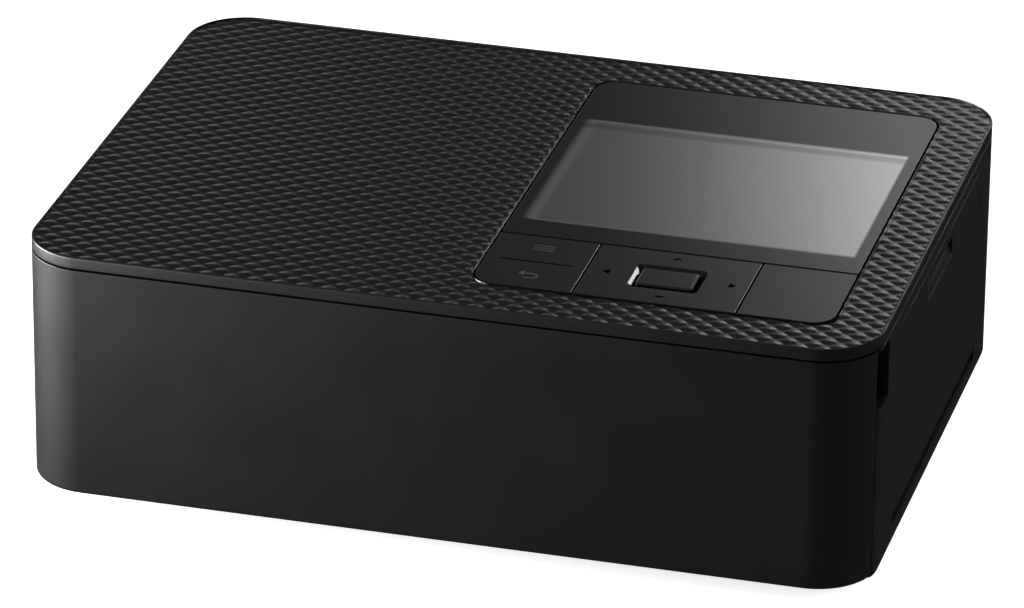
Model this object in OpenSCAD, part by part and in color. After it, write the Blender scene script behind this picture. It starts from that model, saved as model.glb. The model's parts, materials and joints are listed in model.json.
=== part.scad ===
// Compact photo printer, standing on its feet.
// Frame: +Z up, front face towards -Y, right side towards +X,
// origin at the centre of the footprint, on the surface it stands on.

/* [Casing] */
// Overall width, left to right
body_w = 182.2; // [170:0.2:200]
// Overall depth, front to back
body_d = 133.0; // [126:0.2:145]
// Overall height, with the feet
body_h = 57.6; // [57:0.1:64]
// Radius of the upright corners
corner_r = 13.2; // [12:0.1:16]
// Thickness of the casing walls
wall = 2.0; // [1.6:0.1:2.4]
// Gap along the seams between the shells
seam = 0.35; // [0.25:0.05:0.5]
// Height of the rubber feet
foot_h = 2.4; // [1.5:0.1:2.6]
// Height of the seam under the top cover
top_seam_z = 54.9; // [54.6:0.1:55.2]
// Where the front cover ends on the sides
front_cut_y = -57.2; // [-57.6:0.1:-56.8]

/* [Control panel] */
// Left edge of the panel
panel_x0 = 3.3; // [2:0.1:6]
// Right edge of the panel
panel_x1 = 79.9; // [78:0.1:81]
// Front edge of the panel
panel_y0 = -54.1; // [-55:0.1:-53]
// Rear edge of the panel
panel_y1 = 54.4; // [50:0.1:55]
// Seam between the window and the keys
panel_seam_y = -28.7; // [-30:0.1:-27]
// Corner radius of the panel
panel_r = 5.0; // [3:0.1:6]
// Drop of the panel below the top face
panel_drop = 0.15; // [0:0.05:0.4]
// Gap round the keys
key_gap = 0.25; // [0.2:0.05:0.4]

/* [Paper path] */
// Height of the paper path
paper_z = 28.5; // [28:0.1:29]
// Width of the paper, postcard size
paper_w = 100; // [100:0.5:102]
// Radius of the platen roller
platen_r = 6.0; // [5.5:0.1:6]
// Radius of the capstan
capstan_r = 3.0; // [2.8:0.1:3]
// Radius of the pickup roller
pickup_r = 7.0; // [6:0.1:7]

/* [Gears] */
// Module of the gear teeth
gm = 0.6; // [0.6:0.1:0.6]
// Backlash at the pitch circle
backlash = 0.14; // [0.1:0.02:0.2]

/* [Hidden] */
fn = 48;
ex = 0.5;
hw = body_w/2;
hd = body_d/2;
// chassis plates
clx = -42;   // outer face of the left plate
crx = 80;    // outer face of the right plate
pt = 1.2;    // thickness of the chassis plates
// gear planes, along X
ga = -46.2;  // first plane, 3 wide
gb = -50.4;  // second plane, 3 wide
gw = 3;
// axes of the mechanism, [y, z]
pla = [13, paper_z - platen_r];
cap = [-21, paper_z - capstan_r];
pin = [-21, paper_z + 0.3 + 2.6];
n_cap = 24; n_pick = 32; n_idl = 36; n_pla = 28; n_big = 44; n_small = 14; n_mot = 10;
n_take = 24; n_rib = 12; n_cam = 26; n_cpin = 10;
d_cp = gm*(n_cap + n_pick)/2;
pic = [cap[0] - sqrt(d_cp*d_cp - 6.7*6.7), cap[1] + 6.7];
function dist(a, b) = norm([b[0]-a[0], b[1]-a[1]]);
function dir(a, b) = atan2(b[1]-a[1], b[0]-a[0]);
function pol(c, r, a) = [c[0] + r*cos(a), c[1] + r*sin(a)];
// a point at distance p from a and q from b, on the right of the line a to b
function apex(a, b, p, q) = let(c = dist(a, b), x = (c*c + p*p - q*q)/(2*c), h = sqrt(p*p - x*x), t = dir(a, b))
  [a[0] + x*cos(t) + h*sin(t), a[1] + x*sin(t) - h*cos(t)];
idl = apex(cap, pla, gm*(n_cap + n_idl)/2, gm*(n_idl + n_pla)/2);
com = pol(pla, gm*(n_small + n_pla)/2, -20);
mot = pol(com, gm*(n_big + n_mot)/2, 15);
tak = [-5, 37];
sup = [31, 37];
rib = pol(tak, gm*(n_take + n_rib)/2, 10);
cam = [-24, 39.5];
cpn = pol(cam, gm*(n_cam + n_cpin)/2, 150);
piv = [50, 44];
lev = [-19, 20];
// phases of the gears: the angle of one tooth, so that each pair is in mesh
function mesh_phase(pa, na, a, nb) = a + 180 - (pa - a)*na/nb + 180/nb;
ph_pla = 0;
ph_idl = mesh_phase(ph_pla, n_pla, dir(pla, idl), n_idl);
ph_cap = mesh_phase(ph_idl, n_idl, dir(idl, cap), n_cap);
ph_pick = mesh_phase(ph_cap, n_cap, dir(cap, pic), n_pick);
ph_small = mesh_phase(ph_pla, n_pla, dir(pla, com), n_small);
ph_big = 0;
ph_mot = mesh_phase(ph_big, n_big, dir(com, mot), n_mot);
ph_take = 0;
ph_rib = mesh_phase(ph_take, n_take, dir(tak, rib), n_rib);
ph_cam = 0;
ph_cpin = mesh_phase(ph_cam, n_cam, dir(cam, cpn), n_cpin);
// front cover hinge and ink door hinge
fhy = -62.2; fhz = 5.0;
dhx = 88.3; dhz = 9.4;
door_y0 = -40; door_y1 = 43; door_z0 = 6.6; door_z1 = 51.5;
// thermal head travel: the arm frame turns by head_deg while the cam turns by cam_deg
head_deg = 4.4; cam_deg = 180;
// case screws, [x, y]
scr = [[-83.6, -46.5], [84.3, -46.5], [-83.6, 50], [84.3, 50]];
// panel face
pz = body_h - panel_drop;
fx = panel_x0; // short names for the key row
kx1 = 25.1; kx2 = 59.75;
nav_c = [(kx1 + kx2)/2, -41.6];
ok_w = 12.2; ok_d = 8.4;

// ---- helpers ----
module rr(x0, y0, x1, y1, r) {
  translate([x0 + r, y0]) square([x1 - x0 - 2*r, y1 - y0]);
  translate([x0, y0 + r]) square([x1 - x0, y1 - y0 - 2*r]);
  for (x = [x0 + r, x1 - r], y = [y0 + r, y1 - r]) translate([x, y]) circle(r = r, $fn = 96);
}
module slab(x0, y0, z0, x1, y1, z1) { translate([x0, y0, z0]) cube([x1 - x0, y1 - y0, z1 - z0]); }
module outline(inset) { rr(-hw + inset, -hd + inset, hw - inset, hd - inset, corner_r - inset); }
module ring2d(a, b) { difference() { outline(a); outline(b); } }
// a solid of revolution or a flat shape laid along +X, starting at x, about the axis c = [y, z]
module ax(x, c) { translate([x, c[0], c[1]]) rotate([90, 0, 90]) children(); }
module rod(x0, x1, c, r, f = 64) { ax(x0, c) cylinder(h = x1 - x0, r = r, $fn = f); }
function inva(a) = tan(a)*180/PI - a;
function flank(n, r, half) = let(rb = gm*n/2*cos(20)) r <= rb ? half + inva(20) : half + inva(20) - inva(acos(rb/r));
module gear2d(n) {
  rp = gm*n/2; ro = rp + 0.85*gm; rt = rp - 1.15*gm; rb = rp*cos(20);
  half = (PI*gm/2 - backlash)/2/rp*180/PI;
  rs = [rt, max(rt + 0.01, rb), rp, (rp + ro)/2, ro];
  polygon([for (k = [0 : n - 1]) each concat(
    [for (i = [0 : 4]) let(a = k*360/n - flank(n, rs[i], half)) [rs[i]*cos(a), rs[i]*sin(a)]],
    [for (i = [4 : -1 : 0]) let(a = k*360/n + flank(n, rs[i], half)) [rs[i]*cos(a), rs[i]*sin(a)]])]);
}
// a toothed wheel of width w at x, with a hub and a bore
module wheel(x, c, n, ph, w, bore, hub_r = 0, hub_l = 0) {
  difference() {
    union() {
      ax(x, c) rotate([0, 0, ph]) linear_extrude(w) gear2d(n);
      if (hub_l > 0) ax(x, c) cylinder(h = hub_l, r = hub_r, $fn = 48);
    }
    if (bore > 0) rod(x - 1, x + max(w, hub_l) + 1, c, bore);
  }
}

// ---- casing ----
module top_cover() {
  color("#1c1c1e") difference() {
    union() {
      difference() {
        translate([0, 0, top_seam_z]) linear_extrude(body_h - top_seam_z) outline(0);
        translate([0, 0, top_seam_z - 1]) linear_extrude(body_h - top_seam_z + 1 - 2.2) outline(wall);
      }
      // locating tabs inside the side and rear covers
      for (s = [-1, 1]) slab(s*(hw - 3) - 0.6, -34, 52.4, s*(hw - 3) + 0.6, 40, 55.6);
      slab(-68, hd - 3.6, 52.4, 68, hd - 2.4, 55.6);
      for (s = scr) translate([s[0], s[1], 46.6]) cylinder(h = 9.4, r = 3.4, $fn = fn);
    }
    translate([0, 0, 50]) linear_extrude(10)
      rr(panel_x0 - key_gap, panel_y0 - key_gap, panel_x1 + key_gap, panel_y1 + key_gap, panel_r + key_gap);
    for (s = scr) translate([s[0], s[1], 45]) cylinder(h = 9, r = 1.25, $fn = fn);
  }
}
module front_cover() {
  z1 = top_seam_z - seam;
  color("#1c1c1e") difference() {
    union() {
      translate([0, 0, 2.8]) linear_extrude(z1 - 2.8) difference() {
        outline(0); outline(wall);
        slab2(-hw - 1, front_cut_y, hw + 1, hd + 1);
      }
      // bottom lip and the hinge knuckles
      slab(-76, -66, 2.8, 76, -62.4, 4.4);
      for (s = [-1, 1]) {
        rod(s*75.3 - 1.1, s*75.3 + 1.1, [fhy, fhz], 1.9);
        slab(s*75.3 - 1.1, -65.5, 2.9, s*75.3 + 1.1, fhy, 6.4);
      }
      // catches at the top corners and ribs inside
      for (s = [-1, 1]) slab(s*60 - 3, -65, 50, s*60 + 3, -62.6, 51.2);
      for (x = [-50, -25, 25, 50]) slab(x - 0.6, -65, 8, x + 0.6, -63.6, 46);
    }
    // the lower rear corners turn about the hinge axis
    difference() {
      slab(-hw - 1, fhy, 0, hw + 1, -50, fhz);
      rod(-hw - 2, hw + 2, [fhy, fhz], 5.0, 96);
    }
    for (s = [-1, 1]) {
      rod(s*75.3 - 2, s*75.3 + 2, [fhy, fhz], 1.05);
      slab(s*78.4 - 2.0, -64.4, 2, s*78.4 + 2.0, -60, 4.6);
    }
  }
}
module slab2(x0, y0, x1, y1) { translate([x0, y0]) square([x1 - x0, y1 - y0]); }
module front_frame() {
  color("#232325") difference() {
    union() {
      slab(-85.2, -56.2, 4.5, 85.2, -54.4, 52);
      // mouth of the paper cassette slot
      difference() {
        slab(-36, -61.4, 5.6, 74, -54.4, 26);
        slab(-34, -63, 7, 72, -54, 24);
      }
      // floor and side rails of the cassette bay
      slab(-36, -54.4, 5.2, 74, -27, 6.6);
      for (x = [-36, 72.6]) slab(x, -54.4, 6.6, x + 1.4, -27, 24);
      for (s = [-1, 1]) {
        slab(s*78.4 - 1.7, fhy, 3.3, s*78.4 + 1.7, -57, 6.9);
        slab(s*78.4 - 1.7, -57.1, 4.5, s*78.4 + 1.7, -56, 6.9);
        rod(s*78.4 - 1.7, s*78.4 + 1.7, [fhy, fhz], 1.8);
      }
    }
    slab(-34, -63, 7, 72, -40, 24);
    for (s = [-1, 1]) rod(s*78.4 - 3, s*78.4 + 3, [fhy, fhz], 1.0);
    // slots for the cover catches
    for (s = [-1, 1]) slab(s*60 - 3.5, -57, 49.4, s*60 + 3.5, -54, 51.8);
  }
}
module front_cover_pins() {
  color("silver") for (s = [-1, 1]) rod(s*77.2 - 2.9, s*77.2 + 2.9, [fhy, fhz], 1.0);
}
module right_side_cover() {
  z1 = top_seam_z - seam;
  color("#1c1c1e") difference() {
    union() {
      translate([0, 0, 2.4]) linear_extrude(z1 - 2.4) difference() {
        outline(0); outline(wall);
        slab2(-hw - 1, -hd - 1, hw + 1, front_cut_y + 0.3);
        slab2(-hw - 1, -hd - 1, 77.6, hd + 1);
      }
      // sill that carries the door hinge, and the pocket behind the finger notch
      slab(87.4, door_y0 - 3.4, 4.6, 89.6, door_y1 + 3.4, 5.4);
      for (y = [door_y0 - 3.4, door_y1 + 0.4]) slab(86.6, y, 4.6, 90, y + 3, 12);
      slab(85.4, -56.6, 40, 86.4, -50.4, 54.3);
      slab(85.4, -56.6, 40, 89.6, -50.4, 41);
    }
    // ink door opening
    slab(82, door_y0 - 0.25, 6.3, hw + 1, door_y1 + 0.25, door_z1 + 0.25);
    // finger notch that frees the front cover
    slab(86.4, -60, 41, hw + 1, -49, 54.0);
    translate([dhx, -60, dhz]) rotate([-90, 0, 0]) cylinder(h = 120, r = 1.0, $fn = fn);
  }
}
module ink_door_pins() {
  color("silver") for (y = [door_y0 - 3.2, door_y1 - 4.4]) translate([dhx, y, dhz]) rotate([-90, 0, 0]) cylinder(h = 7.6, r = 1.0, $fn = fn);
}
module left_side_cover() {
  z1 = top_seam_z - seam;
  color("#1c1c1e") difference() {
    union() {
      translate([0, 0, 2.4]) linear_extrude(z1 - 2.4) difference() {
        outline(0); outline(wall);
        slab2(-hw - 1, -hd - 1, hw + 1, front_cut_y + 0.3);
        slab2(-77.6, -hd - 1, hw + 1, hd + 1);
      }
      slab(-86.4, -56.6, 40, -85.4, -50.4, 54.3);
      slab(-89.6, -56.6, 40, -85.4, -50.4, 41);
    }
    // memory card slot and the USB port
    slab(-hw - 1, -36, 9.4, -86, -10.4, 12.4);
    slab(-hw - 1, 2, 8.6, -86, 12, 12.4);
    // vents
    for (k = [0 : 9]) slab(-hw - 1, 22 + k*3, 18, -86, 23.4 + k*3, 34);
    slab(-hw - 1, -60, 41, -86.4, -49, 54.0);
  }
}
module rear_cover() {
  z1 = top_seam_z - seam;
  color("#1c1c1e") difference() {
    slab(-77.3, hd - wall, 2.4, 77.3, hd, z1);
    // paper comes out here between passes
    slab(-34, 60, paper_z - 1.4, 72, 70, paper_z + 2.2);
    for (k = [0 : 13]) slab(4 + k*4, 60, 38, 5.6 + k*4, 70, 48);
    translate([-62, 70, 13.4]) rotate([90, 0, 0]) cylinder(h = 10, r = 4.2, $fn = fn);
  }
}
module base_pan() {
  color("#1c1c1e") difference() {
    union() {
      translate([0, 0, 2.4]) linear_extrude(2) difference() {
        outline(wall + 0.25);
        slab2(-hw, -hd - 1, hw, -56.9);
      }
      for (s = scr) translate([s[0], s[1], 4.4]) cylinder(h = 41.9, r = 3.6, $fn = fn);
      // pillars under the main board and the edges that hold the chassis
      for (x = [-84.5, -58.5], y = [-40, 16, 44]) translate([x, y, 4.4]) cylinder(h = 2.1, r = 2.5, $fn = fn);
      for (x = [clx + pt + 0.2, crx - pt - 2.2]) slab(x, -24, 4.4, x + 2, 58, 7.4);
    }
    for (s = scr) {
      translate([s[0], s[1], 1]) cylinder(h = 39, r = 2.7, $fn = fn);
      translate([s[0], s[1], 1]) cylinder(h = 60, r = 1.5, $fn = fn);
    }
    for (k = [0 : 11]) slab(-30 + k*5, 20, 1, -28.2 + k*5, 44, 6);
  }
}
module rubber_feet() {
  color("#141414") for (x = [-68, 68], y = [-46, 50]) translate([x, y, 0]) cylinder(h = foot_h, r = 5.5, $fn = fn);
}
module casing_screws() {
  color("silver") for (s = scr) translate([s[0], s[1], 0]) difference() {
    union() {
      translate([0, 0, 38]) cylinder(h = 2, r = 2.4, $fn = fn);
      translate([0, 0, 40]) cylinder(h = 12, r = 1.25, $fn = fn);
    }
    translate([0, 0, 37]) cylinder(h = 2, r = 1.2, $fn = 6);
  }
}
// the door that covers the ink cassette, hinged along its foot
module ink_door() {
  color("#1c1c1e") difference() {
    union() {
      slab(hw - wall, door_y0, dhz, hw, door_y1, door_z1);
      slab(dhx, door_y0, door_z0, hw, door_y1, dhz + 0.01);
      // hinge barrels
      for (y = [door_y0, door_y1 - 5]) translate([dhx, y, dhz]) rotate([-90, 0, 0]) cylinder(h = 5, r = 2.2, $fn = fn);
      // pocket wall behind the finger recess, and the catch
      slab(85.6, -12.4, 43.2, hw - 1, 15.4, 50.2);
      slab(86.6, -3, 48.6, 89.4, 6, door_z1 - 0.3);
      for (y = [-28, 30]) slab(87.9, y - 0.6, 14, 89.4, y + 0.6, 46);
    }
    // the foot is rounded about the hinge axis
    difference() {
      slab(dhx - 4, door_y0 - 1, 2, hw + 1, door_y1 + 1, dhz);
      translate([dhx, door_y0 - 2, dhz]) rotate([-90, 0, 0]) cylinder(h = 90, r = 2.8, $fn = 96);
    }
    slab(87.2, -11, 44.5, hw + 1, 14, 49);
    translate([dhx, door_y0 - 2, dhz]) rotate([-90, 0, 0]) cylinder(h = 90, r = 1.05, $fn = fn);
  }
}

// ---- control panel ----
module panel2d() { rr(panel_x0, panel_y0, panel_x1, panel_y1, panel_r); }
module keycap(x0, y0, x1, y1, t) {
  translate([0, 0, pz - t]) linear_extrude(t) intersection() { panel2d(); slab2(x0, y0, x1, y1); }
}
module panel_window() {
  color([0.1, 0.1, 0.11, 0.6]) keycap(panel_x0 - 1, panel_seam_y + key_gap/2, panel_x1 + 1, panel_y1 + 1, 1.6);
}
module menu_back_key() {
  color("#202022") difference() {
    union() {
      keycap(panel_x0 - 1, panel_y0 - 1, kx1 - key_gap/2, panel_seam_y - key_gap/2, 2);
      for (y = [-34.3, -47.7]) translate([14.25, y, 54.55]) cylinder(h = 1.2, r = 1.6, $fn = fn);
    }
    slab(6.55, -41.45, pz - 0.3, 21.95, -41.15, pz + 1);
  }
}
module nav_pad() {
  color("#202022") difference() {
    union() {
      keycap(kx1 + key_gap/2, panel_y0 - 1, kx2 - key_gap/2, panel_seam_y - key_gap/2, 2);
      for (d = [[0, 9.8], [0, -9.8], [13, 0], [-13, 0]]) translate([nav_c[0] + d[0], nav_c[1] + d[1], 54.6]) cylinder(h = 1.2, r = 1.4, $fn = fn);
    }
    translate([0, 0, pz - 3]) linear_extrude(4) rr(nav_c[0] - 7.15, nav_c[1] - 5.25, nav_c[0] + 7.15, nav_c[1] + 5.25, 1.2);
  }
}
module nav_pivot_ring() {
  color("#303033") translate([0, 0, 54.1]) linear_extrude(1.1) difference() {
    rr(nav_c[0] - 10.4, nav_c[1] - 8.0, nav_c[0] + 10.4, nav_c[1] + 8.0, 2);
    rr(nav_c[0] - 7.6, nav_c[1] - 5.8, nav_c[0] + 7.6, nav_c[1] + 5.8, 1.2);
  }
}
module ok_key() {
  color("#202022") {
    translate([0, 0, pz - 2.2]) linear_extrude(2.2) rr(nav_c[0] - ok_w/2, nav_c[1] - ok_d/2, nav_c[0] + ok_w/2, nav_c[1] + ok_d/2, 0.8);
    translate([nav_c[0], nav_c[1], 54.1]) cylinder(h = 1.2, r = 1.8, $fn = fn);
  }
}
module print_key() {
  color("#202022") {
    keycap(kx2 + key_gap/2, panel_y0 - 1, panel_x1 + 1, panel_seam_y - key_gap/2, 2);
    translate([70, -41.4, 54.6]) cylinder(h = 1.0, r = 2, $fn = fn);
  }
}
sw = [[14.25, -34.3], [14.25, -47.7], [nav_c[0], nav_c[1] + 9.8], [nav_c[0], nav_c[1] - 9.8],
  [nav_c[0] + 13, nav_c[1]], [nav_c[0] - 13, nav_c[1]], [nav_c[0], nav_c[1]], [70, -41.4]];
module key_board() {
  color("darkgreen") difference() {
    slab(5, -52, 50.6, 78.4, -31, 51.8);
    for (x = [8, 75.5], y = [-49.5, -33.5]) translate([x, y, 50]) cylinder(h = 3, r = 1.1, $fn = fn);
  }
}
module tact_switches() {
  color("silver") for (s = sw) translate([s[0], s[1], 51.8]) {
    translate([-2.2, -2.2, 0]) cube([4.4, 4.4, 1.4]);
    cylinder(h = 1.85, r = 1, $fn = fn);
  }
}
module lcd_panel() {
  color([0.5, 0.55, 0.55]) slab(4.6, -25, 53.4, 79.2, 38.5, 55.6);
}
module lcd_frame() {
  color("silver") difference() {
    slab(4.0, -26, 51.6, 79.8, 39.4, 54.6);
    slab(4.5, -25.2, 52.3, 79.3, 38.7, 56);
    for (x = [14, 42], y = [-16, 8]) slab(x, y, 51, x + 22, y + 18, 53);
  }
}
module lcd_cable() {
  color("orange") {
    slab(-6, -12, 52.4, 4.0, -2, 52.6);
    slab(-6.2, -12, 49.7, -6, -2, 52.6);
    slab(-56.2, -12, 49.7, -6, -2, 49.9);
    slab(-56.2, -12, 8.1, -56, -2, 49.9);
  }
}
// ---- chassis ----
module plate(x) {
  difference() {
    ax(x, [0, 0]) linear_extrude(pt) difference() {
      union() { slab2(-46, 4.5, 60, 47.4); slab2(40, 30, 60, 50); }
      slab2(-47, 4, -25.5, 24.6);
    }
    for (c = [pla, cap, pic, tak, piv, cam]) rod(x - 1, x + pt + 1, c, c == tak ? 3.05 : c == piv ? 1.5 : 2.55);
  }
}
module chassis_left_plate() {
  color("silver") difference() {
    plate(clx);
    rod(clx - 1, clx + 3, idl, 1.5);
    rod(clx - 1, clx + 3, com, 1.5);
  }
  // pin that the ribbon supply spool turns on
  color("silver") { rod(clx, -35, sup, 1.75); rod(clx + pt, -38, sup, 3.2); }
}
module chassis_right_plate() {
  color("silver") difference() {
    plate(crx - pt);
    // the ink cassette slides in through here
    slab(crx - 3, -15, 26.6, crx + 3, 41, 49);
    slab(crx - 3, -15.5, 46, crx + 3, -10, 50);
  }
  color("silver") rod(crx - 0.2, 83, lev, 1.5);
}
module chassis_tie_bars() {
  color("silver") {
    slab(clx + pt, 56.4, 8, crx - pt, 57.6, 24);
    slab(clx + pt, -43, 44.6, crx - pt, -34, 45.8);
    slab(clx + pt, -24.8, 8, crx - pt, -23.6, 20);
    for (x = [clx + pt, crx - pt - 1], y = [56.4]) slab(x, 52, 8, x + 1, 56.4, 24);
  }
}
module paper_guide() {
  color("#2a2a2c") {
    slab(-36.2, -17, paper_z - 1.8, 75.2, 5.6, paper_z - 0.7);
    slab(-36.2, 20.4, paper_z - 1.8, 75.2, 62, paper_z - 0.7);
    for (x = [-36.2, 74]) { slab(x, -17, 14, x + 1.2, 4, paper_z - 1.7); slab(x, 22, 14, x + 1.2, 56, paper_z - 1.7); }
    slab(-36.2, 22, 14, 75.2, 23.2, paper_z - 1.7);
  }
}
// rollers
module platen_roller() {
  color("#222222") rod(-33, 71, pla, platen_r, 96);
  color("silver") rod(ga - 0.4, crx + 0.7, pla, 2.5);
}
module capstan_roller() {
  color("silver") { rod(-33, 71, cap, capstan_r, 96); rod(ga - 0.4, crx + 0.7, cap, 2.5); }
}
module pinch_roller() {
  color("#444444") rod(-30, 68, pin, 2.6);
  color("silver") rod(-36, 74, pin, 1.2);
}
module pinch_springs() {
  // leaf brackets that press the pinch roller down
  color("silver") for (x = [-33.4, 69]) difference() {
    union() {
      slab(x, -24.8, 20, x + 2.4, -24.2, pin[1] + 3.4);
      slab(x, -24.8, pin[1] - 1.6, x + 2.4, -18.6, pin[1] + 3.4);
    }
    rod(x - 1, x + 5, pin, 1.25);
    slab(x - 1, -24.2, pin[1] - 2, x + 5, -22.8, pin[1] + 2.6);
    rod(x - 1, x + 5, cap, 3.4);
  }
}
module pickup_roller() {
  color("#303030") for (x = [4, 24]) rod(x, x + 10, pic, pickup_r, 96);
  color("silver") rod(ga - 0.4, crx + 0.7, pic, 2.5);
}

// ---- gear train ----
module platen_gear() { color("ivory") wheel(ga, pla, n_pla, ph_pla, gw, 2.5); }
module capstan_gear() { color("ivory") wheel(ga, cap, n_cap, ph_cap, gw, 2.5); }
module pickup_gear() { color("ivory") wheel(ga, pic, n_pick, ph_pick, gw, 2.5); }
module idler_gear() { color("ivory") wheel(ga, idl, n_idl, ph_idl, gw, 1.55); }
module compound_gear() {
  color("ivory") difference() {
    union() { wheel(gb, com, n_big, ph_big, gw, 0); ax(gb + gw, com) rotate([0, 0, ph_small]) linear_extrude(ga - gb) gear2d(n_small); }
    rod(gb - 1, ga + gw + 2, com, 1.55);
    for (k = [0 : 4]) rod(gb - 1, gb + gw - 0.8, pol(com, 8, k*72 + 20), 2.4);
  }
}
module gear_plate() {
  color("silver") {
    difference() {
      ax(-52.4, [0, 0]) linear_extrude(pt) difference() {
        union() { slab2(-44, 6, 52, 47); }
        for (p = [[46, 10], [-14, 45]]) translate(p) circle(r = 3, $fn = fn);
      }
      for (c = [mot, rib, cpn]) rod(-54, -50, c, 3.2);
      rod(-54, -50, cam, 2.55);
    }
    // gear posts and the pillars that join it to the chassis
    for (c = [idl, com]) rod(-51.3, clx, c, 1.5);
    for (c = [[47, 42], [-42, 9.5], [-40, 45], [47, 8.5]]) rod(-51.3, clx, c, 1.8);
  }
}
module motor(c, r, x0, shaft_x) {
  difference() {
    union() {
      rod(x0, -52.4, c, r);
      rod(x0 - 1.6, x0 + 1, c, r*0.35);
    }
    rod(-54, -50, c, 1.18);
    rod(x0 + 1, -53.4, c, r - 0.8);
  }
}
module feed_motor() { color("silver") motor(mot, 10, -72, -46); }
module motor_pinion() {
  color("goldenrod") wheel(gb, mot, n_mot, ph_mot, gw, 0);
  color("silver") rod(-68, gb + 0.5, mot, 1.1);
}
module ribbon_motor() { color("silver") motor(rib, 6.4, -68, -42); }
module ribbon_pinion() {
  color("goldenrod") wheel(ga, rib, n_rib, ph_rib, gw, 0);
  color("silver") rod(-65, ga + 0.5, rib, 1.1);
}
module cam_motor() { color("silver") motor(cpn, 5.6, -66, -46); }
module cam_pinion() {
  color("goldenrod") wheel(gb, cpn, n_cpin, ph_cpin, gw, 0);
  color("silver") rod(-63, gb + 0.5, cpn, 1.1);
}
// ---- ribbon ----
module take_up_gear() {
  color("ivory") {
    wheel(ga, tak, n_take, ph_take, gw, 0);
    rod(ga + gw - 0.1, -38.8, tak, 3);
    ax(-38.9, tak) linear_extrude(2.2) { square([5.6, 1.2], center = true); square([1.2, 5.6], center = true); }
  }
}
module spool(c, film) {
  rod(-33.6, 71.4, c, film, 96);
  rod(-34.6, 72.4, c, 2.8);
  for (x = [-34.4, 71.4]) rod(x, x + 0.8, c, 8);
  rod(72, 73.2, c, 3.02);
}
module take_up_spool() {
  color("#303036") difference() {
    union() { spool(tak, 7.2); rod(-36.6, -33, tak, 3.52); }
    ax(-38.9, tak) linear_extrude(2.2 + 0.3) { square([5.8, 1.4], center = true); square([1.4, 5.8], center = true); }
  }
}
module supply_spool() {
  color("#b0a020") difference() {
    union() { spool(sup, 7.2); rod(-36.6, -33, sup, 3.52); }
    rod(-37, -34.8, sup, 1.8);
  }
}
module ribbon_film() { color("#c8b030") slab(-31, tak[0], 28.75, 69, sup[0], 28.95); }
module ink_cassette_frame() {
  color("#5a5a60") difference() {
    union() {
      for (c = [tak, sup]) rod(-35.8, 73.4, c, 9, 96);
      for (x = [-35.8, 72.6]) slab(x, tak[0], 31, x + 0.8, sup[0], 44);
      for (y = [-13.2, 38.6]) slab(-35.8, y, 33, 73.4, y + 0.8 - 0.2, 42);
      // grip at the door end
      slab(73.4, -8, 32, 74.6, 34, 43);
      slab(74.6, 9, 34.4, 81, 17, 37.2);
      slab(80, 7, 33.6, 82, 19, 38);
    }
    for (c = [tak, sup]) {
      rod(-34.9, 72.6, c, 8.3, 96);
      rod(-37, -34, c, 3.6);
      rod(72, 73.5, c, 3.1);
      slab(-34.9, c[0] - 4.5, 26, 72.6, c[0] + 4.5, 33);
    }
    slab(-34.9, tak[0] + 6, 26, 72.6, sup[0] - 6, 33.6);
  }
}
// ---- print head ----
module thermal_head() {
  color("#d8d4c8") { slab(-33, 7.4, 32.6, 71, 18.6, 34.2); slab(-32, pla[0] - 1.2, 32.1, 70, pla[0] + 1.2, 32.7); }
}
module head_heatsink() {
  color("#a8a8aa") { slab(-33, 7.4, 34.2, 71, 18.6, 36.2); for (k = [0 : 3]) slab(-33, 7.6 + k*3.2, 36.1, 71, 8.8 + k*3.2, 48.2); }
}
module head_arm_frame() {
  color("silver") difference() {
    union() {
      slab(-35, 6, 48.2, 73.4, 52, 49.2);
      // the lifting edge over the cams
      for (x = [-39.4, 74.2]) slab(x, -30, 48.2, x + 3.4, 10, 49.2);
      slab(-39.4, 6, 48.2, 77.6, 20, 49.2);
      slab(-39.4, 46, 48.2, 77.6, 52, 49.2);
      for (x = [-39.4, 76.4]) { slab(x, 46, 40.6, x + 1.2, 53.4, 49.2); rod(x, x + 1.2, piv, 3.4); }
    }
    for (x = [-39.4, 76.4]) rod(x - 1, x + 2.2, piv, 1.55);
    for (x = [-24, 44]) slab(x, 26, 47, x + 18, 44, 50);
    slab(-30, 26, 47, 60, 44, 48.2);
  }
}
// flat-faced cam: its height under the lifting edge falls evenly with the angle turned
cam_k = 1 - head_deg/cam_deg;
function cam_h(a) = let(t = a/cam_k*head_deg/cam_deg)
  (48.2 - piv[1]) + (piv[1] - cam[1])*cos(t) - (piv[0] - cam[0])*sin(t) - 0.08;
function cam_dh(a) = (cam_h(a + 0.5) - cam_h(a - 0.5))*180/PI;
module head_cam_shaft() {
  color("white") {
    for (x = [-39.2, 74.6]) ax(x, cam) linear_extrude(2.8)
      polygon([for (k = [0 : 60]) let(a = k*cam_deg*cam_k/60) [cam_h(a)*sin(a) + cam_dh(a)*cos(a), cam_h(a)*cos(a) - cam_dh(a)*sin(a)], [-2.7, 4]]);
    rod(-52.2, crx + 0.7, cam, 2.5);
    wheel(gb, cam, n_cam, ph_cam, gw, 0);
  }
}
module head_pivot_shaft() { color("silver") rod(clx - 0.6, crx + 0.6, piv, 1.5); }
// torsion springs round the pivot shaft, that press the head down
module head_springs() {
  color("silver") for (x = [-36.9, 72.6]) difference() {
    union() {
      for (k = [0 : 3]) rod(x + k*0.9, x + k*0.9 + 0.75, piv, 2.9);
      rod(x, x + 3.45, piv, 2.4);
    }
    rod(x - 1, x + 5, piv, 1.8);
  }
}
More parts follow.
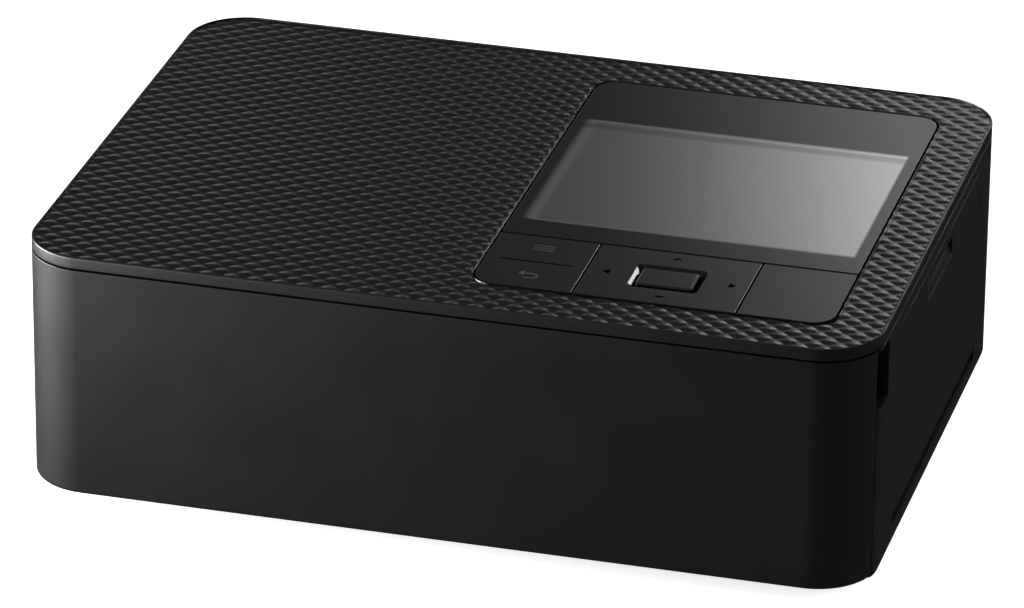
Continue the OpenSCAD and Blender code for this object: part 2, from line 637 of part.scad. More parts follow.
// ---- electronics ----
module main_board() {
  color("darkgreen") difference() {
    slab(-87, -42.6, 6.5, -55.2, 46, 8.1);
    for (x = [-84.5, -58.5], y = [-40, 16, 44]) translate([x, y, 5]) cylinder(h = 5, r = 1.2, $fn = fn);
  }
  color("#151515") { slab(-80, -8, 8.1, -68, 4, 9.6); slab(-66, -6, 8.1, -58, 2, 9.3); slab(-80, 20, 8.1, -72, 32, 9.5); }
  color("silver") for (x = [-83, -76]) translate([x, 38, 8.1]) cylinder(h = 9, r = 3.2, $fn = fn);
}
module card_socket() {
  color("silver") difference() {
    slab(-88.6, -37, 8.1, -62, -9.4, 13.0);
    slab(-92, -36, 9.4, -64, -10.4, 12.2);
  }
}
module usb_socket() {
  color("silver") difference() {
    translate([-88.6, 7, 10.5]) rotate([90, 0, 90]) linear_extrude(8) rr(-4.7, -1.9, 4.7, 1.9, 1.5);
    translate([-92, 7, 10.5]) rotate([90, 0, 90]) linear_extrude(10.6) rr(-4.2, -1.4, 4.2, 1.4, 1.2);
    slab(-90, 0, 6, -80, 14, 8.1);
  }
  color("#202020") slab(-88, 4.2, 10.2, -80.9, 9.8, 10.8);
}
module dc_jack() {
  color("#101010") difference() {
    union() { slab(-67, 50, 8.4, -57, 64.4, 18.4); slab(-67, 42, 8.1, -57, 50.1, 9.4); }
    translate([-62, 70, 13.4]) rotate([90, 0, 0]) cylinder(h = 16, r = 3.2, $fn = fn);
  }
  color("silver") translate([-62, 64, 13.4]) rotate([90, 0, 0]) cylinder(h = 11, r = 0.9, $fn = fn);
}
module eject_lever() {
  color("#8a8a90") difference() {
    union() { slab(81.0, lev[0] - 2.6, lev[1], 82.6, lev[0] + 2.6, 34); rod(81.0, 82.6, lev, 3); slab(81.0, lev[0] - 2.6, 31.4, 86, lev[0] + 2.6, 34); }
    rod(80, 84, lev, 1.55);
  }
}

top_cover();
front_cover();
front_frame();
right_side_cover();
left_side_cover();
rear_cover();
base_pan();
rubber_feet();
casing_screws();
ink_door();
ink_door_pins();
front_cover_pins();
panel_window();
menu_back_key();
nav_pad();
nav_pivot_ring();
ok_key();
print_key();
key_board();
tact_switches();
lcd_panel();
lcd_frame();
lcd_cable();
chassis_left_plate();
chassis_right_plate();
chassis_tie_bars();
paper_guide();
platen_roller();
platen_gear();
capstan_roller();
capstan_gear();
pinch_roller();
pinch_springs();
pickup_roller();
pickup_gear();
idler_gear();
compound_gear();
gear_plate();
feed_motor();
motor_pinion();
ribbon_motor();
ribbon_pinion();
take_up_gear();
take_up_spool();
supply_spool();
ribbon_film();
ink_cassette_frame();
thermal_head();
head_heatsink();
head_arm_frame();
head_pivot_shaft();
head_cam_shaft();
head_springs();
cam_motor();
cam_pinion();
main_board();
card_socket();
usb_socket();
dc_jack();
eject_lever();
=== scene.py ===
import bpy, bmesh, json, math
from mathutils import Vector, Matrix
from mathutils.geometry import delaunay_2d_cdt


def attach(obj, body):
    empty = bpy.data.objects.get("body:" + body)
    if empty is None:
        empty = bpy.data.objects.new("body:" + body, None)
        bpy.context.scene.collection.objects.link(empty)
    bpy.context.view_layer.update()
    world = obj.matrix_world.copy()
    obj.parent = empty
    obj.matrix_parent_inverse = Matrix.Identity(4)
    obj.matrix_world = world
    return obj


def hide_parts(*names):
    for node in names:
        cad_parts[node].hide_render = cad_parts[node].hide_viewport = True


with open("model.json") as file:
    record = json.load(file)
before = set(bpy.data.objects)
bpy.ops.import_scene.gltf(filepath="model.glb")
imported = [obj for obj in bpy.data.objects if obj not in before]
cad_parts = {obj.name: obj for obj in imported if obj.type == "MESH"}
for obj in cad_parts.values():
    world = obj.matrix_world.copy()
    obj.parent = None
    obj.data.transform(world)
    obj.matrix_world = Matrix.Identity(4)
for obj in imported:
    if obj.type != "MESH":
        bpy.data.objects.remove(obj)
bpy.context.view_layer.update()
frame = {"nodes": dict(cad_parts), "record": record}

MM = 0.001
W, D, H = 182.2, 133.0, 57.6
HW, HD = W / 2, D / 2
CR = 13.2
WALL = 2.0
SEAM_Z = 54.9
SIDE_TOP = 54.55
FCUT = -57.2
PX0, PX1, PY0, PY1, PR = 3.3, 79.9, -54.1, 54.4, 5.0
PSEAM = -28.7
PZ = 57.45
KG = 0.25
KX1, KX2 = 25.1, 59.75
NAV = ((KX1 + KX2) / 2, -41.6)

# ------------------------------------------------------------------ camera
az, el, roll = map(math.radians, (14.860, 25.289, 0.592))
back = Vector((math.sin(az) * math.cos(el), -math.cos(az) * math.cos(el), math.sin(el)))
right = Vector((math.cos(az), math.sin(az), 0.0))
up = back.cross(right)
R1 = math.cos(roll) * right + math.sin(roll) * up
U1 = -math.sin(roll) * right + math.cos(roll) * up
loc = (R1 * -1.436 + U1 * 24.548 + back * 1508.50) * MM
cd = bpy.data.cameras.new("studio_camera")
cd.lens = 6970.83 / 1024 * 36.0
cd.sensor_width = 36.0
cd.clip_start, cd.clip_end = 0.05, 20
cam = bpy.data.objects.new("studio_camera", cd)
bpy.context.scene.collection.objects.link(cam)
m = Matrix((R1, U1, back)).transposed().to_4x4()
m.translation = loc
cam.matrix_world = m
bpy.context.scene.camera = cam


# ------------------------------------------------------------------ materials
def new_mat(name):
    mt = bpy.data.materials.new(name)
    mt.use_nodes = True
    nt = mt.node_tree
    for n in list(nt.nodes):
        nt.nodes.remove(n)
    out = nt.nodes.new("ShaderNodeOutputMaterial")
    b = nt.nodes.new("ShaderNodeBsdfPrincipled")
    nt.links.new(b.outputs[0], out.inputs[0])
    tc = nt.nodes.new("ShaderNodeTexCoord")
    return mt, nt, b, tc


def noise(nt, tc, scale, detail=2.0, rough=0.5, stretch=None):
    n = nt.nodes.new("ShaderNodeTexNoise")
    n.inputs["Scale"].default_value = scale
    n.inputs["Detail"].default_value = detail
    n.inputs["Roughness"].default_value = rough
    if stretch:
        mp = nt.nodes.new("ShaderNodeMapping")
        mp.inputs["Scale"].default_value = stretch
        nt.links.new(tc.outputs["Object"], mp.inputs[0])
        nt.links.new(mp.outputs[0], n.inputs["Vector"])
    else:
        nt.links.new(tc.outputs["Object"], n.inputs["Vector"])
    return n


def ramp(nt, src, lo, hi, a=0.35, b=0.65):
    r = nt.nodes.new("ShaderNodeValToRGB")
    r.color_ramp.elements[0].position = a
    r.color_ramp.elements[1].position = b
    r.color_ramp.elements[0].color = (*lo, 1)
    r.color_ramp.elements[1].color = (*hi, 1)
    nt.links.new(src, r.inputs[0])
    return r


def maprange(nt, src, lo, hi):
    r = nt.nodes.new("ShaderNodeMapRange")
    r.inputs["From Min"].default_value = 0.3
    r.inputs["From Max"].default_value = 0.7
    r.inputs["To Min"].default_value = lo
    r.inputs["To Max"].default_value = hi
    nt.links.new(src, r.inputs[0])
    return r


def bump(nt, src, dist, strength=1.0, prev=None):
    b = nt.nodes.new("ShaderNodeBump")
    b.inputs["Distance"].default_value = dist
    b.inputs["Strength"].default_value = strength
    nt.links.new(src, b.inputs["Height"])
    if prev:
        nt.links.new(prev.outputs[0], b.inputs["Normal"])
    return b


def sc(c, k):
    return tuple(min(1.0, v * k) for v in c)


def surface(name, col, rough=0.5, metal=0.0, grain=2500, depth=0.00002, tone=0.12, blotch=60, spec=0.5,
            stretch=None, coat=0.0, coat_rough=0.05, dr=0.06, tone2=0.5):
    """A finish with fine grain in its relief, slow tone changes and uneven roughness."""
    mt, nt, b, tc = new_mat(name)
    fine = noise(nt, tc, grain, 3.0, 0.6, stretch)
    slow = noise(nt, tc, blotch, 3.0, 0.55)
    mix = nt.nodes.new("ShaderNodeMath")
    mix.operation = "MULTIPLY_ADD"
    nt.links.new(fine.outputs["Fac"], mix.inputs[0])
    mix.inputs[1].default_value = tone2
    nt.links.new(slow.outputs["Fac"], mix.inputs[2])
    sub = nt.nodes.new("ShaderNodeMath")
    sub.operation = "SUBTRACT"
    nt.links.new(mix.outputs[0], sub.inputs[0])
    sub.inputs[1].default_value = tone2 * 0.5
    r = ramp(nt, sub.outputs[0], sc(col, 1 - tone), sc(col, 1 + tone))
    nt.links.new(r.outputs[0], b.inputs["Base Color"])
    rr = maprange(nt, slow.outputs["Fac"], max(0.02, rough - dr), min(1, rough + dr))
    nt.links.new(rr.outputs[0], b.inputs["Roughness"])
    b.inputs["Metallic"].default_value = metal
    b.inputs["Specular IOR Level"].default_value = spec
    if coat:
        b.inputs["Coat Weight"].default_value = coat
        b.inputs["Coat Roughness"].default_value = coat_rough
    bp = bump(nt, fine.outputs["Fac"], depth)
    nt.links.new(bp.outputs[0], b.inputs["Normal"])
    mt.diffuse_color = (*col, 1)
    return mt


MAT = {
    "case_plastic": surface("case_plastic", (0.0034, 0.0034, 0.0035), 0.40, grain=2600, depth=0.000012, tone=0.08, spec=0.5, dr=0.015),
    "top_plastic": surface("top_plastic", (0.0030, 0.0030, 0.0031), 0.22, grain=3000, depth=0.000006, dr=0.02, tone=0.05, spec=0.55),
    "key_gloss": surface("key_gloss", (0.0030, 0.0030, 0.0031), 0.22, grain=4000, depth=0.000002, tone=0.06, spec=0.50, dr=0.01),
    "key_print": surface("key_print", (0.085, 0.085, 0.086), 0.55, grain=4000, depth=0.000002, tone=0.06, spec=0.3),
    "panel_gloss": surface("panel_gloss", (0.0030, 0.0030, 0.0031), 0.13, grain=4000, depth=0.0000007, tone=0.06, spec=0.42, dr=0.01),
    "inner_plastic": surface("inner_plastic", (0.015, 0.015, 0.016), 0.5, grain=1800, depth=0.00002, tone=0.10),
    "grey_plastic": surface("grey_plastic", (0.13, 0.13, 0.137), 0.45, grain=1800, depth=0.00002, tone=0.08),
    "gear_plastic": surface("gear_plastic", (0.36, 0.345, 0.30), 0.38, grain=900, depth=0.00001, tone=0.05, spec=0.45),
    "rubber": surface("rubber", (0.020, 0.020, 0.020), 0.85, grain=1500, depth=0.00004, tone=0.2, spec=0.3),
    "roller_rubber": surface("roller_rubber", (0.045, 0.045, 0.046), 0.75, grain=1400, depth=0.00003, tone=0.15, spec=0.3, stretch=(0.3, 1, 1)),
    "steel": surface("steel", (0.60, 0.60, 0.61), 0.25, metal=1.0, grain=900, depth=0.000006, tone=0.06, stretch=(0.08, 1, 1)),
    "plated_steel": surface("plated_steel", (0.62, 0.63, 0.62), 0.36, metal=1.0, grain=700, depth=0.000008, tone=0.08, stretch=(1, 0.15, 1)),
    "aluminium": surface("aluminium", (0.74, 0.74, 0.75), 0.38, metal=1.0, grain=900, depth=0.00001, tone=0.05, stretch=(0.05, 1, 1)),
    "brass": surface("brass", (0.72, 0.52, 0.22), 0.3, metal=1.0, grain=900, depth=0.000008, tone=0.06),
    "board_green": surface("board_green", (0.012, 0.11, 0.045), 0.32, grain=1500, depth=0.000008, tone=0.2, coat=0.3),
    "lcd_glass": surface("lcd_glass", (0.10, 0.105, 0.10), 0.18, grain=5000, depth=0.0000005, tone=0.05, spec=0.5),
    "ceramic": surface("ceramic", (0.38, 0.365, 0.33), 0.25, grain=1200, depth=0.000006, tone=0.05),
    "film": surface("film", (0.30, 0.23, 0.033), 0.22, grain=1600, depth=0.000004, tone=0.12, stretch=(1, 0.2, 1), coat=0.4),
    "flex": surface("flex", (0.48, 0.20, 0.03), 0.3, grain=1200, depth=0.000008, tone=0.1, coat=0.3),
}
SLOT = {s["node"]: s["material_slot"] for s in frame["record"]["subparts"]}
for n, ob in frame["nodes"].items():
    mt = MAT[SLOT[n]]
    if not ob.material_slots:
        ob.data.materials.append(mt)
    for s in ob.material_slots:
        s.material = mt
    for p in ob.data.polygons:
        pass

# ------------------------------------------------------------------ mesh tools, in millimetres
ROOT_COL = bpy.context.scene.collection


def rloop(x0, y0, x1, y1, r, z, n=16, sx=0, sy=0):
    """Rounded rectangle at height z, anticlockwise from above, with extra points along the straight sides."""
    pts = []
    r = max(r, 0.02)
    cs = [(x1 - r, y0 + r, -90), (x1 - r, y1 - r, 0), (x0 + r, y1 - r, 90), (x0 + r, y0 + r, 180)]
    for k, (cx, cy, a0) in enumerate(cs):
        for i in range(n + 1):
            a = math.radians(a0 + 90 * i / n)
            pts.append((cx + r * math.cos(a), cy + r * math.sin(a)))
        nx = cs[(k + 1) % 4]
        s = sy if k % 2 == 0 else sx
        a = math.radians(nx[2])
        q = (nx[0] + r * math.cos(a), nx[1] + r * math.sin(a))
        p = pts[-1]
        for i in range(1, s + 1):
            t = i / (s + 1)
            pts.append((p[0] + (q[0] - p[0]) * t, p[1] + (q[1] - p[1]) * t))
    return [(x, y, z) for x, y in pts]


def body_loop(inset, z, n=20, sx=6, sy=4):
    return rloop(-HW + inset, -HD + inset, HW - inset, HD - inset, CR - inset, z, n, sx, sy)


class Mesh:
    """Collects faces in millimetres and writes one welded object in metres."""

    def __init__(self):
        self.v, self.f, self.m, self.sm = [], [], [], []
        self.mi = 0
        self.flat = False

    def add(self, pts):
        s = len(self.v)
        self.v += [tuple(p) for p in pts]
        return list(range(s, s + len(pts)))

    def face(self, ids):
        self.f.append(tuple(ids))
        self.m.append(self.mi)

    def bridge(self, a, b, closed=True, flip=False):
        n = len(a)
        for i in range(n if closed else n - 1):
            j = (i + 1) % n
            q = (a[i], a[j], b[j], b[i])
            self.face(q[::-1] if flip else q)

    def loft(self, loops, closed=True, flip=False):
        ids = [self.add(l) for l in loops]
        for a, b in zip(ids, ids[1:]):
            self.bridge(a, b, closed, flip)
        return ids

    def box(self, x0, y0, z0, x1, y1, z1, r=0.0):
        """A block; r rounds its upright edges and cuts a chamfer at top and bottom."""
        x0, x1 = min(x0, x1), max(x0, x1)
        c = min(r * 0.6, 0.3 * min(x1 - x0, y1 - y0, z1 - z0)) if r else 0
        if not r:
            a = self.add([(x0, y0, z0), (x1, y0, z0), (x1, y1, z0), (x0, y1, z0)])
            b = self.add([(x0, y0, z1), (x1, y0, z1), (x1, y1, z1), (x0, y1, z1)])
            self.bridge(a, b)
            self.face(a[::-1])
            self.face(b)
            return
        r = min(r, 0.45 * (x1 - x0), 0.45 * (y1 - y0))
        ls = [rloop(x0 + c, y0 + c, x1 - c, y1 - c, r - c, z0, 4), rloop(x0, y0, x1, y1, r, z0 + c, 4),
              rloop(x0, y0, x1, y1, r, z1 - c, 4), rloop(x0 + c, y0 + c, x1 - c, y1 - c, r - c, z1, 4)]
        ids = self.loft(ls)
        self.face(ids[0][::-1])
        self.face(ids[-1])

    def cyl(self, c, r, h0, h1, axis="z", n=40, ch=0.0, r2=None):
        """A round bar from h0 to h1 along the axis; c gives the other two coordinates, in order."""
        r2 = r if r2 is None else r2

        def ring(rad, h):
            out = []
            for i in range(n):
                a = 2 * math.pi * i / n
                u, w = c[0] + rad * math.cos(a), c[1] + rad * math.sin(a)
                out.append({"z": (u, w, h), "x": (h, u, w), "y": (w, h, u)}[axis])
            return out

        cc = c
        if axis == "y":
            # c is given as (x, z); ring() wants (z, x)
            c = (cc[1], cc[0])
        ls = [ring(r - ch, h0), ring(r, h0 + ch), ring(r2, h1 - ch), ring(r2 - ch, h1)] if ch else [ring(r, h0), ring(r2, h1)]
        ids = self.loft(ls)
        self.face(ids[0][::-1])
        self.face(ids[-1])

    def build(self, name, mats, smooth_deg=32, weld=0.0005):
        me = bpy.data.meshes.new(name)
        me.from_pydata([(x * MM, y * MM, z * MM) for x, y, z in self.v], [], self.f)
        me.update()
        for mt in mats:
            me.materials.append(mt)
        for p, k in zip(me.polygons, self.m):
            p.material_index = k
        bm = bmesh.new()
        bm.from_mesh(me)
        bmesh.ops.remove_doubles(bm, verts=bm.verts, dist=weld * MM)
        bmesh.ops.dissolve_degenerate(bm, dist=1e-8, edges=bm.edges)
        bmesh.ops.recalc_face_normals(bm, faces=bm.faces)
        finish_bm(bm, me, smooth_deg)
        ob = bpy.data.objects.new(name, me)
        ROOT_COL.objects.link(ob)
        return ob


def finish_bm(bm, me, smooth_deg=32):
    lim = math.radians(smooth_deg)
    for f in bm.faces:
        f.smooth = True
    for e in bm.edges:
        if len(e.link_faces) == 2:
            try:
                e.smooth = e.calc_face_angle() < lim
            except ValueError:
                e.smooth = True
        else:
            e.smooth = False
    bm.to_mesh(me)
    bm.free()
    me.update()


def cut(ob, cutters, smooth_deg=32):
    """Cuts closed meshes out of a piece, and keeps its materials."""
    for c in cutters:
        md = ob.modifiers.new("cut", "BOOLEAN")
        md.operation = "DIFFERENCE"
        md.solver = "EXACT"
        md.object = c
        try:
            md.material_mode = "TRANSFER" if c.get("transfer") else "INDEX"
        except Exception:
            pass
    dg = bpy.context.evaluated_depsgraph_get()
    me = bpy.data.meshes.new_from_object(ob.evaluated_get(dg))
    ob.modifiers.clear()
    old = ob.data
    ob.data = me
    bpy.data.meshes.remove(old)
    for c in cutters:
        bpy.data.objects.remove(c)
    bm = bmesh.new()
    bm.from_mesh(me)
    bmesh.ops.remove_doubles(bm, verts=bm.verts, dist=2e-7)
    bmesh.ops.dissolve_degenerate(bm, dist=1e-7, edges=bm.edges)
    finish_bm(bm, me, smooth_deg)
    return ob


def block(*a, r=0.0):
    m = Mesh()
    m.box(*a, r=r)
    return m.build("cutter", [])


def bar(*a, **k):
    m = Mesh()
    m.cyl(*a, **k)
    return m.build("cutter", [])


def bevelled(node, width, name=None, mats=None, seg=3, angle=30, big=None, smooth_deg=40):
    """A copy of a CAD node with its edges rounded. big is (test, width) for the edges that get a larger radius."""
    src = frame["nodes"][node]
    me = src.data.copy()
    bm = bmesh.new()
    bm.from_mesh(me)
    bmesh.ops.remove_doubles(bm, verts=bm.verts, dist=2e-6)
    bmesh.ops.dissolve_limit(bm, angle_limit=math.radians(1.0), verts=bm.verts, edges=bm.edges)

    def sharp(e):
        return len(e.link_faces) == 2 and e.calc_face_angle(0) > math.radians(angle)

    if big:
        es = [e for e in bm.edges if sharp(e) and big[0]((e.verts[0].co + e.verts[1].co) / 2 / MM)]
        bmesh.ops.bevel(bm, geom=es, offset=big[1] * MM, segments=seg + 2, profile=0.5, affect="EDGES", clamp_overlap=True)
    es = [e for e in bm.edges if sharp(e)]
    bmesh.ops.bevel(bm, geom=es, offset=width * MM, segments=seg, profile=0.5, affect="EDGES", clamp_overlap=True)
    finish_bm(bm, me, smooth_deg)
    ob = bpy.data.objects.new(name or node + "_shape", me)
    me.materials.clear()
    for mt in (mats or [MAT[SLOT[node]]]):
        me.materials.append(mt)
    ROOT_COL.objects.link(ob)
    return ob


BODY_OF = {n: b for b, ns in frame["record"]["behaviour"]["bodies"].items() for n in ns}


def even(ob):
    """Lets the large flat faces set the shading of the small rounded ones beside them."""
    if ob.type == "MESH" and len(ob.data.polygons) < 20000:
        md = ob.modifiers.new("even", "WEIGHTED_NORMAL")
        md.mode = "FACE_AREA"
        md.weight = 50
        md.keep_sharp = True


def stand(ob, node, *more):
    """The piece stands for a CAD node and moves with it."""
    even(ob)
    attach(ob, BODY_OF[node])
    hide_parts(node, *more)
    return ob


def extra(ob, body):
    even(ob)
    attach(ob, body)
    return ob

# ------------------------------------------------------------------ top cover with its diamond grain
TA, TB = 2.61, 2.115          # half diagonals of one diamond
TX, TY = 0.0, 0.0             # where one diamond is centred
FLOOR_Z, PEAK = 57.24, 0.30
IN_O, IN_P = 0.55, 0.58        # the smooth rims round the outside and round the panel
GN = 8                        # steps along each side of one diamond


def sd_rr(x, y, x0, y0, x1, y1, r):
    qx = abs(x - (x0 + x1) / 2) - (x1 - x0) / 2 + r
    qy = abs(y - (y0 + y1) / 2) - (y1 - y0) / 2 + r
    return min(max(qx, qy), 0.0) + math.hypot(max(qx, 0), max(qy, 0)) - r


def edge_gap(x, y):
    """Distance inside the grained field, negative outside it."""
    o = -sd_rr(x, y, -HW + IN_O, -HD + IN_O, HW - IN_O, HD - IN_O, CR - IN_O)
    p = sd_rr(x, y, PX0 - IN_P, PY0 - IN_P, PX1 + IN_P, PY1 + IN_P, PR + IN_P)
    return min(o, p)


def bump_h(a, b):
    """Height of the low rounded pyramid at a and b, its two edge-to-edge coordinates from -1 to 1."""
    r = (abs(a) ** 3 + abs(b) ** 3) ** (1 / 3)
    return max(0.0, PEAK * (1.02 - math.sqrt(r * r + 0.04)))


def grain_h(x, y):
    i = round((x - TX) / TA)
    j = round((y - TY) / TB)
    best = 0.0
    for di in (-1, 0, 1):
        for dj in (-1, 0, 1):
            if (i + di + j + dj) % 2 == 0:
                u = (x - TX) / TA - (i + di)
                v = (y - TY) / TB - (j + dj)
                if abs(u + v) < 1 and abs(u - v) < 1:
                    best = max(best, bump_h(u + v, u - v))
    return best


def top_cover():
    M = Mesh()
    n, sx, sy = 20, 30, 20

    def out(i, z):
        return body_loop(i, z, n, sx, sy)

    def hole(i, z):
        return rloop(PX0 - i, PY0 - i, PX1 + i, PY1 + i, PR + i, z, 12, 14, 20)

    o_edge, p_edge = out(IN_O, FLOOR_Z), hole(IN_P, FLOOR_Z)
    # the grained field: whole diamonds as they are, the rest triangulated up to the rims
    T = [k / GN for k in range(GN)]
    corner = [(TA, 0), (0, TB), (-TA, 0), (0, -TB)]
    ring = []
    for k in range(4):
        a, b = corner[k], corner[(k + 1) % 4]
        ring += [(a[0] + (b[0] - a[0]) * t, a[1] + (b[1] - a[1]) * t) for t in T]
    steps = [-1 + 2 * k / GN for k in range(GN + 1)]
    NI, NJ = int(HW / TA) + 2, int(HD / TB) + 2
    part_pts, inner_edges, whole = [], [], set()
    for i in range(-NI, NI + 1):
        for j in range(-NJ, NJ + 1):
            if (i + j) % 2:
                continue
            cx, cy = TX + i * TA, TY + j * TB
            if min(edge_gap(cx + x, cy + y) for x, y in ring) > 0.12 and edge_gap(cx, cy) > 0:
                whole.add((i, j))
    idx = {}

    def vid(x, y, z):
        k = (round(x, 3), round(y, 3), round(z, 3))
        if k not in idx:
            idx[k] = len(M.v)
            M.v.append((x, y, z))
        return idx[k]

    for (i, j) in whole:
        cx, cy = TX + i * TA, TY + j * TB
        rows = [[vid(cx + TA * (p + q) / 2, cy + TB * (p - q) / 2, FLOOR_Z + bump_h(p, q)) for q in steps] for p in steps]
        for r0, r1 in zip(rows, rows[1:]):
            for k in range(GN):
                M.face((r0[k], r0[k + 1], r1[k + 1], r1[k]))
    vs, es, key = [], [], {}

    def pt(x, y):
        k = (round(x, 3), round(y, 3))
        if k not in key:
            key[k] = len(vs)
            vs.append(Vector((x, y)))
        return key[k]

    for lp in (o_edge, p_edge):
        ids = [pt(p[0], p[1]) for p in lp]
        es += [(ids[k], ids[(k + 1) % len(ids)]) for k in range(len(ids))]
    for i in range(-NI, NI + 1):
        for j in range(-NJ, NJ + 1):
            if (i + j) % 2:
                continue
            cx, cy = TX + i * TA, TY + j * TB
            if (i, j) in whole:
                near = [(i + a, j + b) not in whole for a, b in ((1, 1), (-1, 1), (-1, -1), (1, -1))]
                for k in range(4):
                    if near[k]:
                        q = [pt(cx + x, cy + y) for x, y in (ring + ring[:1])[GN * k:GN * k + GN + 1]]
                        es += list(zip(q, q[1:]))
            else:
                for p in steps:
                    for q in steps:
                        x, y = cx + TA * (p + q) / 2, cy + TB * (p - q) / 2
                        if edge_gap(x, y) > 0.14:
                            pt(x, y)
    r = delaunay_2d_cdt(vs, es, [], 0, 1e-5)

    def in_whole(x, y):
        i0, j0 = round((x - TX) / TA), round((y - TY) / TB)
        for a in (-1, 0, 1):
            for b in (-1, 0, 1):
                i, j = i0 + a, j0 + b
                if (i, j) in whole and abs(x - TX - i * TA) / TA + abs(y - TY - j * TB) / TB < 1:
                    return True
        return False

    def zat(x, y):
        g = max(0.0, min(1.0, edge_gap(x, y) / 0.3))
        return FLOOR_Z + grain_h(x, y) * g * g * (3 - 2 * g)

    rid = [vid(p.x, p.y, zat(p.x, p.y)) for p in r[0]]
    for f in r[2]:
        x = sum(r[0][k].x for k in f) / 3
        y = sum(r[0][k].y for k in f) / 3
        if edge_gap(x, y) > 0 and not in_whole(x, y):
            M.face([rid[k] for k in f])
    # rim, skirt and underside
    RO = 0.42
    q = [(RO * (1 - math.sin(math.radians(a))), H - RO + RO * math.cos(math.radians(a))) for a in range(0, 91, 10)]
    M.mi = 1
    M.loft([out(IN_O, FLOOR_Z), out(0.50, H - 0.12), out(0.47, H - 0.02)] + [out(i, z) for i, z in q] +
           [out(0, SEAM_Z + 0.25), out(0.08, SEAM_Z + 0.08), out(0.25, SEAM_Z), out(WALL, SEAM_Z), out(WALL, 55.4)], flip=True)
    M.mi = 0
    M.loft([hole(IN_P, FLOOR_Z), hole(0.53, H - 0.16), hole(0.50, H - 0.08), hole(0.46, H - 0.07), hole(KG + 0.02, H - 0.24), hole(KG, H - 0.30), hole(KG, 55.4)])
    vs2, es2 = [], []
    for lp in (out(WALL, 0), hole(KG, 0)):
        b0 = len(vs2)
        vs2 += [Vector((p[0], p[1])) for p in lp]
        es2 += [(b0 + k, b0 + (k + 1) % len(lp)) for k in range(len(lp))]
    r = delaunay_2d_cdt(vs2, es2, [], 0, 1e-5)
    ids = M.add([(p.x, p.y, 55.4) for p in r[0]])
    for f in r[2]:
        x = sum(r[0][k].x for k in f) / 3
        y = sum(r[0][k].y for k in f) / 3
        if sd_rr(x, y, PX0 - KG, PY0 - KG, PX1 + KG, PY1 + KG, PR + KG) > 0:
            M.face([ids[k] for k in f])
    # bosses and locating tabs under the cover
    for s in (-1, 1):
        M.box(s * (HW - 3) - 0.6, -34, 52.4, s * (HW - 3) + 0.6, 40, 55.6, r=0.3)
    M.box(-68, HD - 3.6, 52.4, 68, HD - 2.4, 55.6, r=0.3)
    for x, y in ((-83.6, -46.5), (84.3, -46.5), (-83.6, 50), (84.3, 50)):
        M.cyl((x, y), 3.4, 46.6, 55.6, ch=0.2)
    ob = M.build("top_cover_shell", [MAT["top_plastic"], MAT["case_plastic"]], smooth_deg=14, weld=0.002)
    return stand(ob, "top_cover")


# ------------------------------------------------------------------ side shells
def arc(cx, cy, r, a0, a1, n):
    return [(cx + r * math.cos(math.radians(a0 + (a1 - a0) * i / n)), cy + r * math.sin(math.radians(a0 + (a1 - a0) * i / n))) for i in range(n + 1)]


def run(p, q, n):
    return [(p[0] + (q[0] - p[0]) * i / (n + 1), p[1] + (q[1] - p[1]) * i / (n + 1)) for i in range(1, n + 1)]


def front_path(i):
    """Right wing, front, left wing; i is the inset from the outside. The ends lie at the seam with the sides."""
    r = CR - i
    cx, cy = HW - CR, -HD + CR
    dy = FCUT - cy
    a = math.degrees(math.asin(dy / r))
    left = arc(-cx, cy, r, 180 - a, 270, 22)
    rgt = arc(cx, cy, r, 270, 360 + a, 22)
    return left + run(left[-1], rgt[0], 24) + rgt


def side_path(i, s):
    """One side, from the seam with the front cover round the rear corner. s is 1 on the right."""
    r = CR - i
    cx = HW - CR
    a = math.degrees(math.asin((FCUT + 0.3 + HD - CR) / r))
    f = arc(cx, -HD + CR, r, a, 0, 6)
    b = arc(cx, HD - CR, r, 0, 90, 22)
    pts = f + run(f[-1], b[0], 24) + b
    pts[-1] = (77.6, pts[-1][1])
    return [(s * x, y) for x, y in pts]


def rear_path(i, s):
    return [(-77.3 + 154.6 * k / 30, HD - i) for k in range(31)]


def shell(path, z0, z1, name, r_low=0.8, r_high=0.25, extra_parts=None, args=()):
    """A wall of constant thickness along a path, with a rounded lower edge, an eased upper edge and eased ends."""
    M = Mesh()
    prof = [(r_low * (1 - math.sin(math.radians(a))), z0 + r_low * (1 - math.cos(math.radians(a)))) for a in (0, 18, 36, 54, 72, 90)]
    prof += [(r_high * (1 - math.cos(math.radians(a))), z1 - r_high * (1 - math.sin(math.radians(a)))) for a in (0, 30, 60, 90)]
    e = 0.18
    rings = []
    inner = path(WALL, *args)
    for i, z in prof:
        o = path(i, *args)
        o2 = path(i + e, *args)

        def mid(p, q, t):
            return (p[0] + (q[0] - p[0]) * t, p[1] + (q[1] - p[1]) * t)

        ln = math.dist(o[0], o[1])
        t = min(0.5, e / ln)
        lm = math.dist(o[-1], o[-2])
        u = min(0.5, e / lm)
        row = [o2[0], mid(o[0], o[1], t)] + o[1:-1] + [mid(o[-1], o[-2], u), o2[-1]]
        inn = [inner[0], mid(inner[0], inner[1], t)] + inner[1:-1] + [mid(inner[-1], inner[-2], u), inner[-1]]
        rings.append(([(x, y, z) for x, y in row], [(x, y, z) for x, y in inn]))
    O = [M.add(a) for a, b in rings]
    I = [M.add(b) for a, b in rings]
    for k in range(len(O) - 1):
        M.bridge(O[k], O[k + 1], closed=False)
        M.bridge(I[k], I[k + 1], closed=False, flip=True)
        M.face((O[k][0], O[k + 1][0], I[k + 1][0], I[k][0]))
        M.face((O[k][-1], I[k][-1], I[k + 1][-1], O[k + 1][-1]))
    M.bridge(O[0], I[0], closed=False, flip=True)
    M.bridge(O[-1], I[-1], closed=False)
    return M


